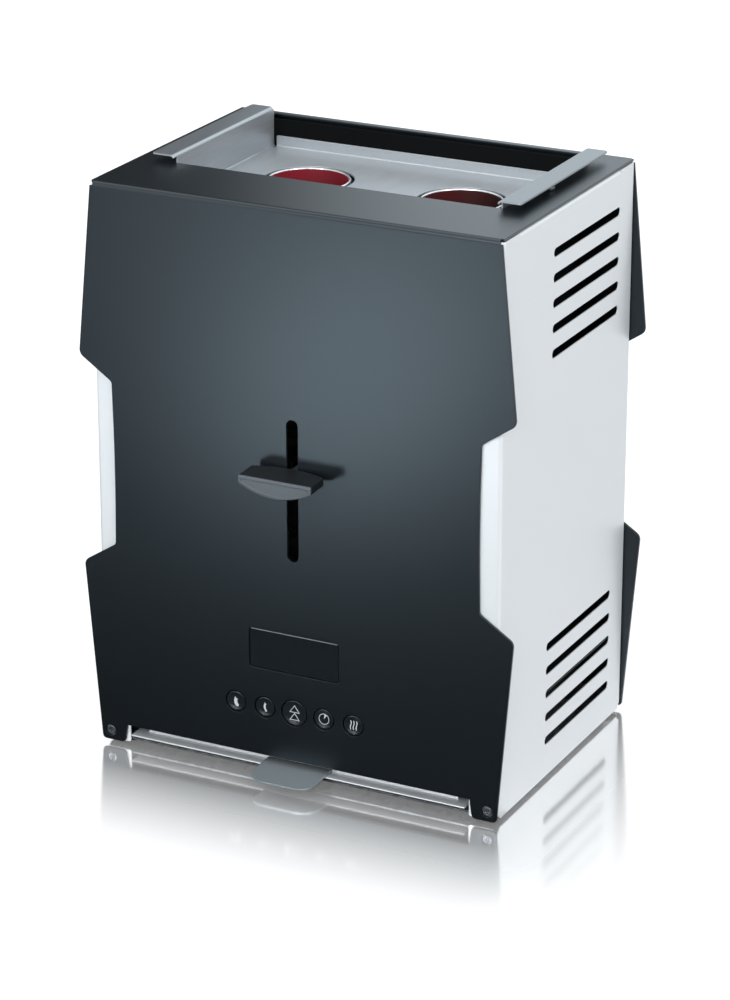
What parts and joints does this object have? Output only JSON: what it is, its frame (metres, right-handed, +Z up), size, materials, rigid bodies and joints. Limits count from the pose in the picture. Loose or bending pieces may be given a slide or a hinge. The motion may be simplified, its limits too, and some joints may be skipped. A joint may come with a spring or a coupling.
{
  "type": "hot dog toaster",
  "caption": "Upright countertop toaster for sausages: a lever lowers wire baskets into round heating chambers, with a display, push buttons and a slide-out crumb tray.",
  "frame": {"origin": "on the floor, at the centre of the bottom of the bounding box", "axes": "+X to the user's right, the front with lever and buttons faces -Y, +Z up"},
  "size_m": [0.2526, 0.196, 0.3225],
  "materials": {
    "cover_black": "satin blue-black powder coat",
    "side_silver": "satin silver paint",
    "rack_steel": "satin stainless sheet",
    "inner_steel": "galvanised sheet",
    "tray_steel": "bright stainless sheet",
    "pull_grey": "satin grey paint",
    "basket_wire": "polished chrome wire",
    "screw_steel": "blackened screw steel",
    "black_plastic": "moulded heat-resistant plastic",
    "button_plastic": "smooth black plastic with pale symbols",
    "lens_plastic": "smoked display lens",
    "foot_rubber": "black rubber",
    "circuit_board": "green board",
    "heater_quartz": "red quartz tube",
    "magnet_iron": "copper coil on an iron yoke"
  },
  "bodies": {
    "housing": {"cover": "cover_black", "side_panel_right": "side_silver", "side_panel_left": "side_silver", "front_screw_left": "screw_steel", "front_screw_right": "screw_steel", "back_screw_left": "screw_steel", "back_screw_right": "screw_steel", "top_screw_left": "screw_steel", "top_screw_right": "screw_steel", "base_plate": "inner_steel", "foot_front_left": "foot_rubber", "foot_front_right": "foot_rubber", "foot_back_left": "foot_rubber", "foot_back_right": "foot_rubber", "tray_runner_right": "inner_steel", "tray_runner_left": "inner_steel", "bun_rack": "rack_steel", "rack_back_wall": "cover_black", "chamber_roof": "inner_steel", "chamber_floor": "inner_steel", "front_shield": "inner_steel", "back_shield": "inner_steel", "side_shield_right": "inner_steel", "side_shield_left": "inner_steel", "lower_shield_right": "inner_steel", "lower_shield_left": "inner_steel", "chamber_left": "inner_steel", "chamber_right": "inner_steel", "heater_left_1": "heater_quartz", "heater_left_2": "heater_quartz", "heater_left_3": "heater_quartz", "heater_right_1": "heater_quartz", "heater_right_2": "heater_quartz", "heater_right_3": "heater_quartz", "guide_rod_left": "tray_steel", "guide_rod_right": "tray_steel", "rod_bracket_upper": "inner_steel", "rod_bracket_lower": "inner_steel", "lift_spring": "tray_steel", "latch_magnet": "magnet_iron", "control_housing": "black_plastic", "display_lens": "lens_plastic", "display_module": "black_plastic", "control_board": "circuit_board", "cord_inlet": "black_plastic", "terminal_block": "black_plastic"},
    "lift": {"carriage": "inner_steel", "basket_left": "basket_wire", "basket_right": "basket_wire", "keeper_plate": "inner_steel", "lever_arm": "tray_steel", "lever_knob": "black_plastic"},
    "drawer": {"crumb_tray": "tray_steel", "crumb_tray_pull": "pull_grey"},
    "key_1": {"button_1": "button_plastic"},
    "key_2": {"button_2": "button_plastic"},
    "key_3": {"button_3": "button_plastic"},
    "key_4": {"button_4": "button_plastic"},
    "key_5": {"button_5": "button_plastic"}
  },
  "joints": [
    {"name": "lever_lift", "type": "slide", "parent": "housing", "child": "lift", "axis": [0, 0, 1], "range_m": [-0.042, 0.025], "stiffness_N_per_m": 80, "springref_m": 0.0255, "deforming": ["lift_spring"]},
    {"name": "crumb_tray_slide", "type": "slide", "parent": "housing", "child": "drawer", "axis": [0, -1, 0], "range_m": [0, 0.13]},
    {"name": "button_1_press", "type": "slide", "parent": "housing", "child": "key_1", "axis": [0, 1, 0], "range_m": [0, 0.0012], "stiffness_N_per_m": 400},
    {"name": "button_2_press", "type": "slide", "parent": "housing", "child": "key_2", "axis": [0, 1, 0], "range_m": [0, 0.0012], "stiffness_N_per_m": 400},
    {"name": "button_3_press", "type": "slide", "parent": "housing", "child": "key_3", "axis": [0, 1, 0], "range_m": [0, 0.0012], "stiffness_N_per_m": 400},
    {"name": "button_4_press", "type": "slide", "parent": "housing", "child": "key_4", "axis": [0, 1, 0], "range_m": [0, 0.0012], "stiffness_N_per_m": 400},
    {"name": "button_5_press", "type": "slide", "parent": "housing", "child": "key_5", "axis": [0, 1, 0], "range_m": [0, 0.0012], "stiffness_N_per_m": 400}
  ]
}
